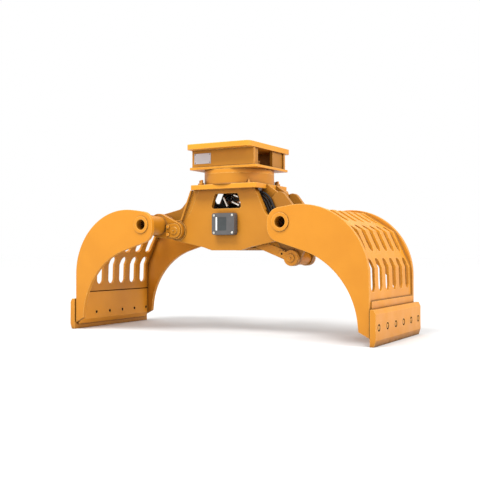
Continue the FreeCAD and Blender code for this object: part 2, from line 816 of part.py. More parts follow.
def make_strap():
    """Rear strap of the sync link: round lower eye, slotted upper eye."""
    along_x, along_z = link_direction()
    slot_end = (-link_high_x - along_z * slot_travel, link_high_z + along_x * slot_travel)
    eye = high_pin_radius + slot_play + strap_eye_wall
    head = [(slot_end[0], slot_end[1], eye), (-link_high_x, link_high_z, eye)]
    beam = [(-link_high_x, link_high_z, strap_half_width), (link_low_x, link_low_z, strap_half_width)]
    solid = fused([plate(head, strap_inner_y, strap_outer_y), plate(beam, strap_inner_y, strap_outer_y),
                   bar(link_low_x, link_low_z, strap_radius, strap_inner_y, strap_outer_y)])
    play = high_pin_radius + slot_play
    slot = plate([(x, z, play) for x, z, _ in head], strap_inner_y, strap_outer_y)
    return solid.cut(slot).cut(bar(link_low_x, link_low_z, link_pin_radius + pin_gap,
                                   strap_inner_y, strap_outer_y))


def make_link_keeper(arm):
    """Disc on the strap's lower eye, with an arm and its bolt hole at the front."""
    low_y = strap_outer_y + side_gap
    high_y = low_y + link_disc
    disc = bar(link_low_x, link_low_z, strap_radius - 2, low_y, high_y)
    if arm:
        hole_x, hole_z = link_low_x - keeper_arm_in, link_low_z + keeper_arm_rise
        rounds = [(link_low_x, link_low_z, keeper_arm_radius), (hole_x, hole_z, keeper_arm_radius)]
        disc = fused([disc, plate(rounds, low_y, high_y)])
        disc = disc.cut(bar(hole_x, hole_z, keeper_hole_radius, low_y, high_y))
    return disc.cut(bar(link_low_x, link_low_z, link_pin_radius, low_y, high_y))


def make_link():
    strap = make_strap()
    save("sync_straps", strap, flip_y(strap))
    end_y = strap_outer_y + link_disc + pin_end_proud
    save("lower_link_pin", bar(link_low_x, link_low_z, link_pin_radius, -end_y, end_y))
    save("link_pin_keepers", make_link_keeper(False), flip_y(make_link_keeper(True)))


def trapezoid_gear(teeth, pitch_radius, inside_out, half_gap, low_z, high_z):
    """Straight-flanked gear profile: teeth outwards, or the cutter of teeth that point inwards."""
    tip = tooth_tip * gear_module
    root = tooth_root * gear_module
    outer = pitch_radius + (root if inside_out else tip)
    inner = pitch_radius - (tip if inside_out else root)
    quarter = math.pi * pitch_radius / teeth / 2
    flare = math.tan(math.radians(tooth_flank))
    points = []
    for i in range(teeth):
        centre = 2 * math.pi * i / teeth
        low = (quarter - half_gap + (pitch_radius - inner) * flare) / inner
        high = (quarter - half_gap - (outer - pitch_radius) * flare) / outer
        for radius, angle in ((inner, -low), (outer, -high), (outer, high), (inner, low)):
            points.append(Vector(radius * math.cos(centre + angle), radius * math.sin(centre + angle), low_z))
    points.append(points[0])
    return Part.Face(Part.makePolygon(points)).extrude(Vector(0, 0, high_z - low_z))


def race_groove():
    """Diamond groove between the slewing rings."""
    half = roller_radius * math.sqrt(2)
    mid_z = (drum_top_z + ring_top_z) / 2
    corners = [(race_radius + half, mid_z), (race_radius, mid_z + half),
               (race_radius - half, mid_z), (race_radius, mid_z - half)]
    section = Part.Face(belt_wire([(x, z, 0) for x, z in corners]))
    return section.revolve(Vector(0, 0, 0), Vector(0, 0, 1), 360)


def make_rollers():
    mid_z = (drum_top_z + ring_top_z) / 2
    length = 2 * roller_radius - 1
    solids = []
    for i in range(rollers):
        lean = Vector(1, 0, 1 if i % 2 else -1)
        lean.normalize()
        centre = Vector(race_radius, 0, mid_z) - lean * (length / 2)
        roller = Part.makeCylinder(roller_radius - 0.1, length, centre, lean)
        roller.rotate(Vector(0, 0, 0), Vector(0, 0, 1), 360 * i / rollers)
        solids.append(roller)
    return solids


def make_drum():
    outer = column(0, 0, drum_radius, frame_top_z, drum_top_z)
    hollow = column(0, 0, drum_radius - drum_wall, frame_top_z, drum_top_z)
    save("slew_drum", outer.cut(hollow))
    groove = race_groove()
    ring = column(0, 0, slew_ring_radius, drum_top_z, ring_top_z)
    ring = ring.cut(column(0, 0, race_radius + race_gap / 2, drum_top_z, ring_top_z))
    save("slew_ring_outer", ring.cut(groove))
    inner = column(0, 0, race_radius - race_gap / 2, drum_top_z + race_gap, head_floor_z)
    teeth = trapezoid_gear(ring_teeth, ring_pitch_radius, True, -tooth_backlash / 2, drum_top_z, head_floor_z)
    save("slew_ring_inner", inner.cut(groove).cut(teeth))
    save("slew_rollers", *make_rollers())


def make_slew_drive():
    """Motor under the pinion, which meshes inside the slewing ring."""
    gear_z = drum_top_z + race_gap + pinion_rest
    gear = trapezoid_gear(pinion_teeth, pinion_pitch_radius, False, tooth_backlash / 2,
                          gear_z, gear_z + pinion_height)
    gear.rotate(Vector(0, 0, 0), Vector(0, 0, 1), 180 / pinion_teeth)
    gear.translate(Vector(pinion_x, 0, 0))
    shaft = column(pinion_x, 0, pinion_shaft_radius, gear_z - pinion_shaft, gear_z)
    save("slew_pinion", gear.fuse(shaft))
    top_z = gear_z - 2 * pinion_rest
    neck_z = frame_top_z + motor_neck_height
    body = column(pinion_x, 0, motor_radius, frame_top_z - motor_height / 2, frame_top_z)
    neck = column(pinion_x, 0, motor_radius + motor_neck, frame_top_z, neck_z)
    snout = column(pinion_x, 0, motor_radius - motor_snout, neck_z, top_z)
    bore = column(pinion_x, 0, pinion_shaft_radius + pin_gap, gear_z - pinion_shaft - side_gap, top_z)
    save("slew_motor", fused([body, neck, snout]).cut(bore))


def make_swivel():
    """Rotary feed: body in the frame with its hose ports, core on the head."""
    split_z = head_floor_z - 4 * race_gap
    floor_z = swivel_low_z + swivel_floor
    elbows = []
    for i in range(hoses):
        start, bend = hose_points(i)[:2]
        lead = (bend - start).normalize()
        elbows.append(Part.makeCylinder(elbow_radius, elbow_length, start - lead * elbow_length, lead))
    body = fused([column(0, 0, swivel_radius, swivel_low_z, split_z)] + elbows)
    save("swivel_body", body.cut(column(0, 0, swivel_core_radius + pin_gap, floor_z, split_z)))
    top_z = head_base_z + swivel_core_height
    core = column(0, 0, swivel_core_radius, floor_z + side_gap, top_z)
    flange = column(0, 0, swivel_radius + swivel_flange, head_base_z, head_base_z + swivel_flange_height)
    ports = [rod_along_x(y, top_z - swivel_port_drop, swivel_port_radius, -swivel_radius, swivel_radius)
             for y in (-swivel_port_y, swivel_port_y)]
    save("swivel_core", fused([core, flange] + ports))


def head_end(low_y, high_y):
    """End plate beside the opening, at the right end."""
    return block((head_end_x - head_plate, low_y, head_base_z), (head_end_x, high_y, head_top_z))


def make_head():
    floor = rounded_slab(head_floor_half_x, head_floor_half_y, head_floor_z, head_base_z, 12)
    save("head_floor_plate", floor.cut(column(0, 0, swivel_core_radius, head_floor_z, head_base_z)))
    top = rounded_slab(head_top_half_x, head_top_half_y, head_top_z, head_top_z + head_top_plate, head_top_corner)
    top = top.cut(column(0, 0, head_opening_radius, head_top_z, head_top_z + head_top_plate))
    for row in (-mount_row_y, mount_row_y):
        for i in range(mount_holes_in_row):
            x = (i - (mount_holes_in_row - 1) / 2) * mount_hole_pitch
            top = top.cut(column(x, row, mount_hole_radius, head_top_z, head_top_z + head_top_plate))
    save("head_top_plate", top)
    side = block((-head_side_half_x, head_side_outer_y - head_plate, head_base_z),
                 (head_side_half_x, head_side_outer_y, head_top_z))
    save("head_side_plates", side, flip_y(side))
    ends = [head_end(-(head_side_outer_y - head_plate), -head_opening_near),
            head_end(head_opening_far, head_side_outer_y - head_plate)]
    save("head_end_plates", *ends, *[half_turn(e) for e in ends])


def make_name_plate():
    low = (name_plate_x - name_plate_length / 2, -head_side_outer_y - name_plate_thickness,
           head_base_z + name_plate_rise - name_plate_height / 2)
    high = (name_plate_x + name_plate_length / 2, -head_side_outer_y,
            head_base_z + name_plate_rise + name_plate_height / 2)
    save("name_plate", block(low, high))


def box_slab(low_y, high_y, inset):
    half_x = box_length / 2 - inset
    half_z = box_height / 2 - inset
    z = tube_z + box_rise
    corner = box_corner - inset
    rounds = [(sx * (half_x - corner), z + sz * (half_z - corner), corner)
              for sx, sz in ((1, -1), (1, 1), (-1, 1), (-1, -1))]
    return plate(rounds, low_y, high_y)


def make_control_box():
    back_y = -frame_outer_y
    joint_y = back_y - box_base_depth
    front_y = joint_y - box_lid_depth
    base = box_slab(joint_y, back_y, 0).cut(box_slab(joint_y, back_y - 4, 6))
    lid = box_slab(front_y, joint_y, 0)
    z = tube_z + box_rise
    pane_low = (box_pane_x - box_pane_length / 2, front_y, z - box_pane_height / 2)
    pane_high = (box_pane_x + box_pane_length / 2, front_y + pane_recess, z + box_pane_height / 2)
    lid = lid.cut(block(pane_low, pane_high))
    pane_low = (pane_low[0], front_y + pane_recess / 2, pane_low[2])
    save("control_box_pane", block(pane_low, pane_high))
    screws = []
    for x in (-box_screw_x, box_screw_x):
        for side in (-1, 1):
            place = z + side * box_screw_z
            pocket = bar(x, place, box_screw_radius + 2, front_y, front_y + 3)
            lid = lid.cut(pocket)
            screws.append(bar(x, place, box_screw_radius, front_y - 1, front_y + 3))
    save("control_box_base", base)
    save("control_box_lid", lid)
    save("control_box_screws", *screws)


def hose_route(points, radius):
    """Round tube along straight runs and the arcs that join them."""
    edges = []
    last = points[0]
    for i in range(1, len(points) - 1):
        before = points[i - 1] - points[i]
        after = points[i + 1] - points[i]
        turn = math.pi - before.getAngle(after)
        cut = 0.45 * min(before.Length, after.Length)
        bend = cut / math.tan(turn / 2)
        enter = points[i] + before.normalize() * cut
        leave = points[i] + after.normalize() * cut
        inward = before + after
        inward.normalize()
        centre = points[i] + inward * math.hypot(bend, cut)
        middle = centre - inward * bend
        edges.append(Part.makeLine(last, enter))
        edges.append(Part.Arc(enter, middle, leave).toShape())
        last = leave
    edges.append(Part.makeLine(last, points[-1]))
    path = Part.Wire(edges)
    profile = Part.Wire(Part.makeCircle(radius, points[0], edges[0].tangentAt(0)))
    return path.makePipe(Part.Face(profile))


def slope_x(z, outwards):
    """X of a line beside the right sloped edge."""
    slope = math.radians(slope_angle)
    return frame_shoulder_x + (frame_top_z - frame_top_plate - z) / math.tan(slope) + outwards / math.sin(slope)


def hose_points(index):
    """Corners of one hose: swivel, first bend, over the plate's end, down beside it to the block."""
    plate_low_z = frame_top_z - frame_top_plate
    outwards = hose_slope_gap + index * hose_pitch
    start = Vector(hose_start_x + index * hose_step_x, hose_start_y,
                   plate_low_z - hose_start_drop + index * hose_step_z)
    corner_z = plate_low_z - hose_top_gap - (hoses - 1 - index) * hose_pitch
    corner = Vector(slope_x(corner_z, outwards), -hose_y, corner_z)
    bend = Vector(start.x + hose_lead_x, -hose_y, corner_z - hose_rise)
    knee_z = tube_z + knee_rise
    knee = Vector(slope_x(knee_z, outwards), -hose_y, knee_z)
    return [start, bend, corner, knee, Vector(knee.x, -hose_y, tube_z + block_rise + block_height)]


def hose_fitting(end, following):
    """Nut and ferrule at a hose's end."""
    direction = following - end
    nut = hex_bar(tuple(end), tuple(direction), hose_nut_flats, hose_nut_length)
    return nut.fuse(Part.makeCylinder(ferrule_radius, ferrule_length, end, direction))


def make_hydraulics():
    """Hoses from the swivel to the block on the front plate's inner face, with their fittings."""
    tubes = []
    fittings = []
    for i in range(hoses):
        points = hose_points(i)
        ends = [hose_fitting(points[0], points[1]), hose_fitting(points[-1], points[-2])]
        tubes.append(hose_route(points, hose_radius).cut(Part.makeCompound(ends)))
        fittings.extend(ends)
    block_z = tube_z + block_rise
    low = (hose_points(0)[-1].x - block_margin, -frame_inner_y, block_z)
    high = (hose_points(hoses - 1)[-1].x + block_margin, -frame_inner_y + block_depth, block_z + block_height)
    save("bulkhead_block", block(low, high))
    save("swivel_hoses", *tubes)
    save("hose_nuts", *fittings)


def make_small_fasteners():
    """Studs with nuts on two corners of the frame's top plate."""
    studs = []
    for degrees in stud_angles:
        x = stud_circle * math.cos(math.radians(degrees))
        y = stud_circle * math.sin(math.radians(degrees))
        stud = column(x, y, stud_radius, frame_top_z, frame_top_z + stud_height)
        studs.append(stud.fuse(hex_bar((x, y, frame_top_z), (0, 0, 1), stud_nut_flats, stud_nut_height)))
    save("drum_studs", *studs)


make_shells()
make_frame()
make_cylinder()
make_link()
make_drum()
make_slew_drive()
make_swivel()
make_head()
make_name_plate()
make_control_box()
make_hydraulics()
make_small_fasteners()
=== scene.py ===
"""Looks of the multi grapple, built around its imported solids. Metres, the same frame as the solids."""
import json
import math

import bmesh
import bpy
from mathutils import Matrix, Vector


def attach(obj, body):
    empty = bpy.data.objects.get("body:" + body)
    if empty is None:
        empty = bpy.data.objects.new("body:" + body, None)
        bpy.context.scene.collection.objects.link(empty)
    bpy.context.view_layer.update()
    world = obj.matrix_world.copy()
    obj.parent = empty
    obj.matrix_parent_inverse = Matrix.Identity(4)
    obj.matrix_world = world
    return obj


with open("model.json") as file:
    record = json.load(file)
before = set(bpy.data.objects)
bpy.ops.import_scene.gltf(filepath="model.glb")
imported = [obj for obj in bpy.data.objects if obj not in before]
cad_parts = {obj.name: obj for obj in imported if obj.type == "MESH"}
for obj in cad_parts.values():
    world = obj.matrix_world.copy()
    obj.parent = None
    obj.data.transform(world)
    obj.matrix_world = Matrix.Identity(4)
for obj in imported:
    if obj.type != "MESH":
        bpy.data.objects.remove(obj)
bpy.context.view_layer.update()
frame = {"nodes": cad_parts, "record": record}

MM = 0.001
SHELLS = ((1, "right_shell"), (-1, "left_shell"))

# Sizes of the solids that the details sit on, in millimetres; pairs are X and Z, or low and high
TUBE = (500.0, 694.0)             # torsion tube's axis
TUBE_RADIUS = 63.0
HINGE = (370.0, 659.0)            # axis that a shell swings on
HINGE_PIN_END_Y = 222.5
LINK_PIN = (438.0, 482.0)         # lower pin of the synchronising link
LINK_PIN_END_Y = 138.0
SIDE_INNER_Y = 375.0              # side plates' inner faces
EAR_FACES_Y = (176.0, 206.0)
LEVER_FACES_Y = (78.0, 104.0)
LIP_TOP = (1034.0, 246.0)         # where the back plate meets the lip
LIP_INNER_X = 1019.0
JAW_CENTRE = (622.0, 373.0)
BEND_RADIUS = 410.0               # back plate's bends round the jaw's centre
BENDS = (8.0, 42.0, 76.0, 108.0)  # their angles, degrees
BLADE_FACE_X = 1084.0
BLADE_BOLTS = 6
BLADE_BOLT_PITCH = 143.0
BLADE_BOLT_Z = 104.0
FRAME_INNER_Y = 142.0             # faces of the frame's front and rear plates
FRAME_OUTER_Y = 170.0
FRAME_SHOULDER_X = 205.0
TOP_PLATE_Z = (919.5, 949.5)
PORTS_X = (-204.0, 148.0)         # oil ports on the cylinder's barrel
PORT_Z = 852.5
BOX_FRONT_Y = -210.0
PANE_SUNK = 2.0
DRUM_RADIUS = 228.0
HEAD_BASE_Z = 1062.5              # upper face of the head's lower plate
HEAD_TOP_Z = 1171.5
HEAD_HALF = (227.0, 216.0)        # half length and half width over the side plates
NAME_PLATE = (-148.0, 1117.5)     # its centre
NAME_PLATE_THICK = 2.0
RING_BOLTS = 20
RING_BOLT_CIRCLE = 150.0          # its radius
TOP_POINT = (164.0, -168.0)       # X and Y; the other one stands half a turn round
END_STUD = (205.0, -118.0)        # likewise

# Weld beads' radii
PLATE_BEAD = 6.0
ROUND_BEAD = 5.0
LIGHT_BEAD = 4.5


# Camera, floor and lamps

def place_camera():
    """Camera of the photograph: a little below the frame, right of the front."""
    lens = bpy.data.cameras.new("camera")
    lens.sensor_width = 36.0
    lens.lens = 58.95
    camera = bpy.data.objects.new("camera", lens)
    bpy.context.collection.objects.link(camera)
    camera.location = (2.557, -4.471, 0.519)
    looking = Vector((-0.4957, 0.8684, 0.0152))
    camera.rotation_euler = looking.to_track_quat("-Z", "Y").to_euler()
    bpy.context.scene.camera = camera


def linear(hex_colour):
    """Linear colour of an sRGB hex value such as "f0a73d"."""
    channels = [int(hex_colour[i:i + 2], 16) / 255 for i in (0, 2, 4)]
    return tuple(c / 12.92 if c <= 0.04045 else ((c + 0.055) / 1.055) ** 2.4 for c in channels) + (1.0,)


def area_lamp(name, place, aim, size, watts):
    """White soft box that looks at a point."""
    light = bpy.data.lights.new(name, "AREA")
    light.shape = "RECTANGLE"
    light.size, light.size_y = size
    light.energy = watts
    lamp = bpy.data.objects.new(name, light)
    bpy.context.collection.objects.link(lamp)
    lamp.location = place
    lamp.rotation_euler = (Vector(aim) - Vector(place)).to_track_quat("-Z", "Y").to_euler()


def light_studio():
    """White room light, a large soft box high in front and one high at the right."""
    bpy.context.scene.view_settings.view_transform = "Standard"
    world = bpy.data.worlds.new("studio")
    bpy.context.scene.world = world
    world.use_nodes = True
    room = world.node_tree.nodes["Background"]
    room.inputs["Color"].default_value = linear("ffffff")
    room.inputs["Strength"].default_value = 1.0
    area_lamp("front_soft_box", place=(-0.5, -1.9, 4.0), aim=(0, 0, 0.5), size=(2.6, 1.6), watts=190)
    area_lamp("right_soft_box", place=(3.4, -0.4, 3.0), aim=(0.4, 0, 0.5), size=(2.2, 1.6), watts=110)


def lay_floor(material):
    """Pale floor that runs to the horizon."""
    mesh = bpy.data.meshes.new("floor")
    half = 60.0
    corners = [(-half, -half, 0), (half, -half, 0), (half, half, 0), (-half, half, 0)]
    mesh.from_pydata(corners, [], [(0, 1, 2, 3)])
    floor = bpy.data.objects.new("floor", mesh)
    bpy.context.collection.objects.link(floor)
    mesh.materials.append(material)


# Materials

def add(tree, kind, inputs=None, out=0, **settings):
    """One shader node: its settings, the values or links of its inputs, and the output that is wanted."""
    made = tree.nodes.new("ShaderNode" + kind)
    for name, value in settings.items():
        setattr(made, name, value)
    for key, value in (inputs or {}).items():
        socket = made.inputs[key]
        if isinstance(value, bpy.types.NodeSocket):
            tree.links.new(value, socket)
        else:
            socket.default_value = value
    return made.outputs[out]


def new_material(name):
    """Empty node material: its tree, its shader and the place of a point on its piece."""
    material = bpy.data.materials.new(name)
    material.use_nodes = True
    tree = material.node_tree
    return material, tree, tree.nodes["Principled BSDF"], add(tree, "TexCoord", out="Object")


def dress(tree, shader, linked, **uniform):
    """Link the patterned channels, and set the even ones straight on the shader's sockets."""
    for name, socket in linked.items():
        tree.links.new(socket, shader.inputs[name])
    for key, value in uniform.items():
        shader.inputs[key.replace("_", " ")].default_value = value


def patches(tree, place, size_mm, low, high, to_low=0.0, to_high=1.0):
    """Uneven patches about size_mm wide, stretched from low..high to to_low..to_high."""
    noise = add(tree, "TexNoise", {"Vector": place, "Scale": 1.0 / (size_mm * MM), "Detail": 3.0})
    return add(tree, "MapRange", {"Value": noise, "From Min": low, "From Max": high,
                                  "To Min": to_low, "To Max": to_high})


def edge_lean(tree, rounded):
    """How far the rounded normal leans from the face's own: 0 on a flat face, 1 on an edge."""
    flat = add(tree, "NewGeometry", out="Normal")
    facing = add(tree, "VectorMath", {0: rounded, 1: flat}, out="Value", operation="DOT_PRODUCT")
    return add(tree, "MapRange", {"Value": facing, "From Min": 0.99, "From Max": 0.8})


def shut_in(tree, reach_mm, open_from, shut_from):
    """How closely other surfaces shut a point in: 0 in the open, 1 in a seam."""
    sky = add(tree, "AmbientOcclusion", {"Distance": reach_mm * MM}, out="AO", samples=8)
    return add(tree, "MapRange", {"Value": sky, "From Min": open_from, "From Max": shut_from})


def corner_dust_and_shade(tree, place, reach_mm, patch_mm):
    """Dust and painted shade that gather in corners and round seated parts, broken up by patches."""
    broken = patches(tree, place, patch_mm, 0.3, 0.7, 0.6, 1.0)
    return add(tree, "Math", {0: shut_in(tree, reach_mm, 0.82, 0.4), 1: broken}, operation="MULTIPLY")


def relief(tree, place, size_mm, high_mm, strength, detail=2.0, rounded=None):
    """Normal of fine grains about size_mm wide and high_mm high, laid over the rounded edges if there are any."""
    grains = add(tree, "TexNoise", {"Vector": place, "Scale": 1.0 / (size_mm * MM), "Detail": detail})
    under = {} if rounded is None else {"Normal": rounded}
    return add(tree, "Bump", {"Strength": strength, "Distance": high_mm * MM, "Height": grains, **under})


def machine_enamel(name, body, shade, worn_and_lit, dust_and_shade_weight=0.8, inside=0.75):
    """Two-pack machine enamel, sprayed on steel plate.

    Satin gloss with a fine orange peel, a little deeper in colour where it runs thick, paler at rubbed edges with a
    painted edge highlight, painted shade browning it inside the shells, dust and painted shade in the corners,
    painted shadow in the open seams.
    """
    material, tree, shader, place = new_material(name)
    # Plate edges are ground to 2 mm; 5.5 mm so that the rubbed paint and its painted highlight show from 5 m.
    rounded = add(tree, "Bevel", {"Radius": 5.5 * MM}, samples=4)
    # Spray passes leave soft patches a hand or two wide.
    colour = add(tree, "Mix", {0: patches(tree, place, 260, 0.35, 0.7), 6: linear(body), 7: linear(shade)}, 2,
                 data_type="RGBA")
    # Painted shade: surfaces shut in over a wide reach, inside the shells and under overhangs, brown towards 7d4f10.
    inner_shade_mask = add(tree, "Math", {0: shut_in(tree, 320, 0.62, 0.2), 1: inside}, operation="MULTIPLY")
    colour = add(tree, "Mix", {0: inner_shade_mask, 6: colour, 7: linear("7d4f10")}, 2, data_type="RGBA")
    # Dust, with painted shade, browns the corners towards 603907; the dust also dulls the gloss.
    dust_and_shade_mask = add(tree, "Math", {0: corner_dust_and_shade(tree, place, 45, 40), 1: dust_and_shade_weight}, operation="MULTIPLY")
    colour = add(tree, "Mix", {0: dust_and_shade_mask, 6: colour, 7: linear("603907")}, 2, data_type="RGBA")
    # Painted shadow: narrow open seams and gaps darken towards 3a2006.
    seam = add(tree, "Math", {0: shut_in(tree, 13, 0.75, 0.4), 1: 0.85}, operation="MULTIPLY")
    colour = add(tree, "Mix", {0: seam, 6: colour, 7: linear("3a2006")}, 2, data_type="RGBA")
    # Rubbed paint and a painted edge highlight pale the rounded edges towards the worn colour.
    chips = patches(tree, place, 14, 0.38, 0.62, 0.45, 1.0)
    rub_and_highlight = add(tree, "Math", {0: edge_lean(tree, rounded), 1: chips}, operation="MULTIPLY")
    colour = add(tree, "Mix", {0: rub_and_highlight, 6: colour, 7: linear(worn_and_lit)}, 2, data_type="RGBA")
    # Orange peel is 1 to 2 mm across; 4 mm so that it still shows from 5 m.
    peel = relief(tree, place, 4, 0.4, 0.1, detail=1.0, rounded=rounded)
    gloss = add(tree, "Math", {0: patches(tree, place, 90, 0.3, 0.7, 0.4, 0.52), 1: dust_and_shade_mask}, operation="MAXIMUM")
    dress(tree, shader, {"Base Color": colour, "Normal": peel, "Roughness": gloss},
          IOR=1.5, Specular_IOR_Level=0.3, Coat_Weight=0.04, Coat_Roughness=0.25, Coat_IOR=1.5)
    return material


def machined_steel(name, colour, mark, rough):
    """Turned or milled steel with thin oil: grey metal with faint tool marks, darker stains, and dust with painted
    shade in the corners.
    """
    material, tree, shader, place = new_material(name)
    rounded = add(tree, "Bevel", {"Radius": 1.0 * MM}, samples=4)
    stained_and_shaded = add(tree, "Mix", {0: patches(tree, place, 30, 0.4, 0.7), 6: linear(colour), 7: linear(mark)}, 2,
                  data_type="RGBA")
    # Dust and painted shade darken the corners towards 1b140c.
    stained_and_shaded = add(tree, "Mix", {0: corner_dust_and_shade(tree, place, 15, 20), 6: stained_and_shaded, 7: linear("1b140c")}, 2,
                  data_type="RGBA")
    # Tool marks are 0.3 mm apart; 2.5 mm so that they show.
    marks = relief(tree, place, 2.5, 0.2, 0.15, rounded=rounded)
    sheen = patches(tree, place, 12, 0.3, 0.7, rough - 0.08, rough + 0.1)
    dress(tree, shader, {"Base Color": stained_and_shaded, "Normal": marks, "Roughness": sheen}, Metallic=1.0)
    return material


def hose_rubber():
    """Wrapped synthetic rubber hose cover: matt black with the print of its cloth wrap."""
    material, tree, shader, place = new_material("hose_rubber")
    colour = add(tree, "Mix", {0: patches(tree, place, 25, 0.45, 0.75), 6: linear("070708"), 7: linear("151412")}, 2,
                 data_type="RGBA")
    # The cloth's threads are 0.5 mm apart; 2 mm so that they show.
    wrap = relief(tree, place, 2, 0.3, 0.3)
    dress(tree, shader, {"Base Color": colour, "Normal": wrap}, Roughness=0.6, IOR=1.52, Specular_IOR_Level=0.35)
    return material


def shadow_soil():
    """Painted shadow round the bolt heads and along the lip's seam: matt dark brown with fine grains, like dried
    earth.
    """
    material, tree, shader, place = new_material("shadow_soil")
    colour = add(tree, "Mix", {0: patches(tree, place, 8, 0.35, 0.7), 6: linear("331803"), 7: linear("1d0d01")}, 2,
                 data_type="RGBA")
    # Grains are 0.3 mm; 1.5 mm so that they show.
    grains = relief(tree, place, 1.5, 0.3, 0.5)
    dress(tree, shader, {"Base Color": colour, "Normal": grains}, Roughness=0.95, Specular_IOR_Level=0.03)
    return material


def powder_coat(name, body, shade, rough):
    """Powder coat on a die-cast housing: even grey with a fine pebble, darker with dust and painted shade in the
    corners.
    """
    material, tree, shader, place = new_material(name)
    rounded = add(tree, "Bevel", {"Radius": 2.0 * MM}, samples=4)
    colour = add(tree, "Mix", {0: patches(tree, place, 60, 0.35, 0.7), 6: linear(body), 7: linear(shade)}, 2,
                 data_type="RGBA")
    # Dust and painted shade darken the corners towards 2c2a28.
    colour = add(tree, "Mix", {0: corner_dust_and_shade(tree, place, 12, 15), 6: colour, 7: linear("2c2a28")}, 2,
                 data_type="RGBA")
    # The pebble is 0.5 mm; 1.5 mm so that it shows.
    pebble = relief(tree, place, 1.5, 0.2, 0.25, detail=1.0, rounded=rounded)
    dress(tree, shader, {"Base Color": colour, "Normal": pebble}, Roughness=rough, IOR=1.5)
    return material


def brushed_aluminium():
    """Anodised aluminium sheet, brushed along its length: pale, with fine lines in the gloss."""
    material, tree, shader, place = new_material("brushed_aluminium")
    stretched = add(tree, "Mapping", {"Vector": place, "Scale": (0.02, 1.0, 1.0)})
    # Brush lines are 0.1 mm apart; 1.2 mm so that they show.
    lines = add(tree, "TexNoise", {"Vector": stretched, "Scale": 1.0 / (1.2 * MM), "Detail": 2.0})
    colour = add(tree, "Mix", {0: lines, 6: linear("c4bcbc"), 7: linear("b5acac")}, 2, data_type="RGBA")
    sheen = add(tree, "MapRange", {"Value": lines, "From Min": 0.3, "From Max": 0.7, "To Min": 0.32, "To Max": 0.5})
    dress(tree, shader, {"Base Color": colour, "Roughness": sheen}, Metallic=0.3)
    return material


def printed_film():
    """Pale ink printed on polyester film: even and slightly glossy, with faint specks."""
    material, tree, shader, place = new_material("pale_print")
    specks = patches(tree, place, 2, 0.6, 0.75, 0.0, 0.25)
    colour = add(tree, "Mix", {0: specks, 6: linear("f2f2ee"), 7: linear("8d8f8c")}, 2, data_type="RGBA")
    dress(tree, shader, {"Base Color": colour}, Roughness=0.35, IOR=1.5)
    return material


def floor_paper():
    """Matt studio paper: pale grey under the part, paling to white where the lamps fall off."""
    material, tree, shader, place = new_material("floor_paper")
    out = add(tree, "VectorMath", {0: place}, out="Value", operation="LENGTH")
    far = add(tree, "MapRange", {"Value": out, "From Min": 1.2, "From Max": 4.5})
    near = add(tree, "Mix", {0: patches(tree, place, 900, 0.3, 0.7), 6: linear("d2d2d2"), 7: linear("cdcdcd")}, 2,
               data_type="RGBA")
    colour = add(tree, "Mix", {0: far, 6: near, 7: linear("ffffff")}, 2, data_type="RGBA")
    dress(tree, shader, {"Base Color": colour}, Roughness=0.9, Specular_IOR_Level=0.1)
    return material


def make_finishes():
    """Every finish by its slot or coat. An enamel's colours: its body, its thick places, its rubbed edges with their
    painted highlight.
    """
    return {
        "orange_paint": machine_enamel("machine_enamel", "c8821c", "c07a17", "f5c26c"),
        # Painted shade: the next two are shaded copies of the enamel, the second one deeper.
        "shaded_paint": machine_enamel("machine_enamel_painted_shade", "b57618", "ad6f14", "eab560", dust_and_shade_weight=0.6),
        "deep_shaded_paint": machine_enamel("machine_enamel_painted_deep_shade", "9f6814", "976211", "dda455", dust_and_shade_weight=0.6),
        # Painted light: the next two are lit copies of the enamel, for the open top plates and for the left lip,
        # which has no painted shade inside.
        "lit_paint": machine_enamel("machine_enamel_painted_light", "cf8a20", "c7821c", "f5c26c", dust_and_shade_weight=0.35),
        "lit_lip_paint": machine_enamel("machine_enamel_painted_lit_lip", "d98f24", "d1881f", "f5c26c", dust_and_shade_weight=0.4, inside=0.0),
        "weld_paint": machine_enamel("enamel_on_weld", "a06614", "8a5710", "c48c3e", dust_and_shade_weight=0.6),
        "dark_steel": machined_steel("oiled_steel", "6b645c", "3d3832", 0.45),
        "zinc_steel": machined_steel("zinc_plated_steel", "efede6", "c9c6bd", 0.3),
        "chrome_rod": machined_steel("hard_chrome", "dcdcde", "c4c4c8", 0.14),
        "hose_rubber": hose_rubber(),
        "box_grey": powder_coat("grey_powder_coat", "514f4f", "4a4848", 0.5),
        "label_film": powder_coat("dark_label_film", "363a3b", "313536", 0.42),
        "plate_aluminium": brushed_aluminium(),
        "shadow_soil": shadow_soil(),
        "pale_ink": printed_film(),
    }


# Nodes whose coat differs from their record slot's. These are shaded and lit copies of the enamel: painted shade on
# the frame's plates, the head's sides, the drum and the shells' tubes, ears and pins, deeper painted shade on the
# head's ends and the levers, painted light on the open top plates and the left lip.
COATS = {
    "shaded_paint": ("frame_front_plate", "frame_rear_plate", "frame_end_covers", "frame_floor_plate",
                   "head_side_plates", "slew_drum", "left_torsion_tube", "right_torsion_tube", "left_outer_ears",
                   "right_outer_ears", "left_pivot_pins", "right_pivot_pins", "pivot_bushes"),
    "deep_shaded_paint": ("head_end_plates", "left_lever_plates", "right_lever_plates"),
    "lit_paint": ("frame_top_plate", "head_top_plate", "head_floor_plate"),
    "lit_lip_paint": ("left_lip_plate",),
}


def paint_nodes(finishes):
    """Each carried-over solid gets the finish of its record slot, or its own coat."""
    own = {node: coat for coat, nodes in COATS.items() for node in nodes}
    for part in frame["record"]["subparts"]:
        piece = frame["nodes"][part["node"]]
        piece.data.materials.clear()
        piece.data.materials.append(finishes[own.get(part["node"], part["material_slot"])])


# Mesh builders, all in millimetres

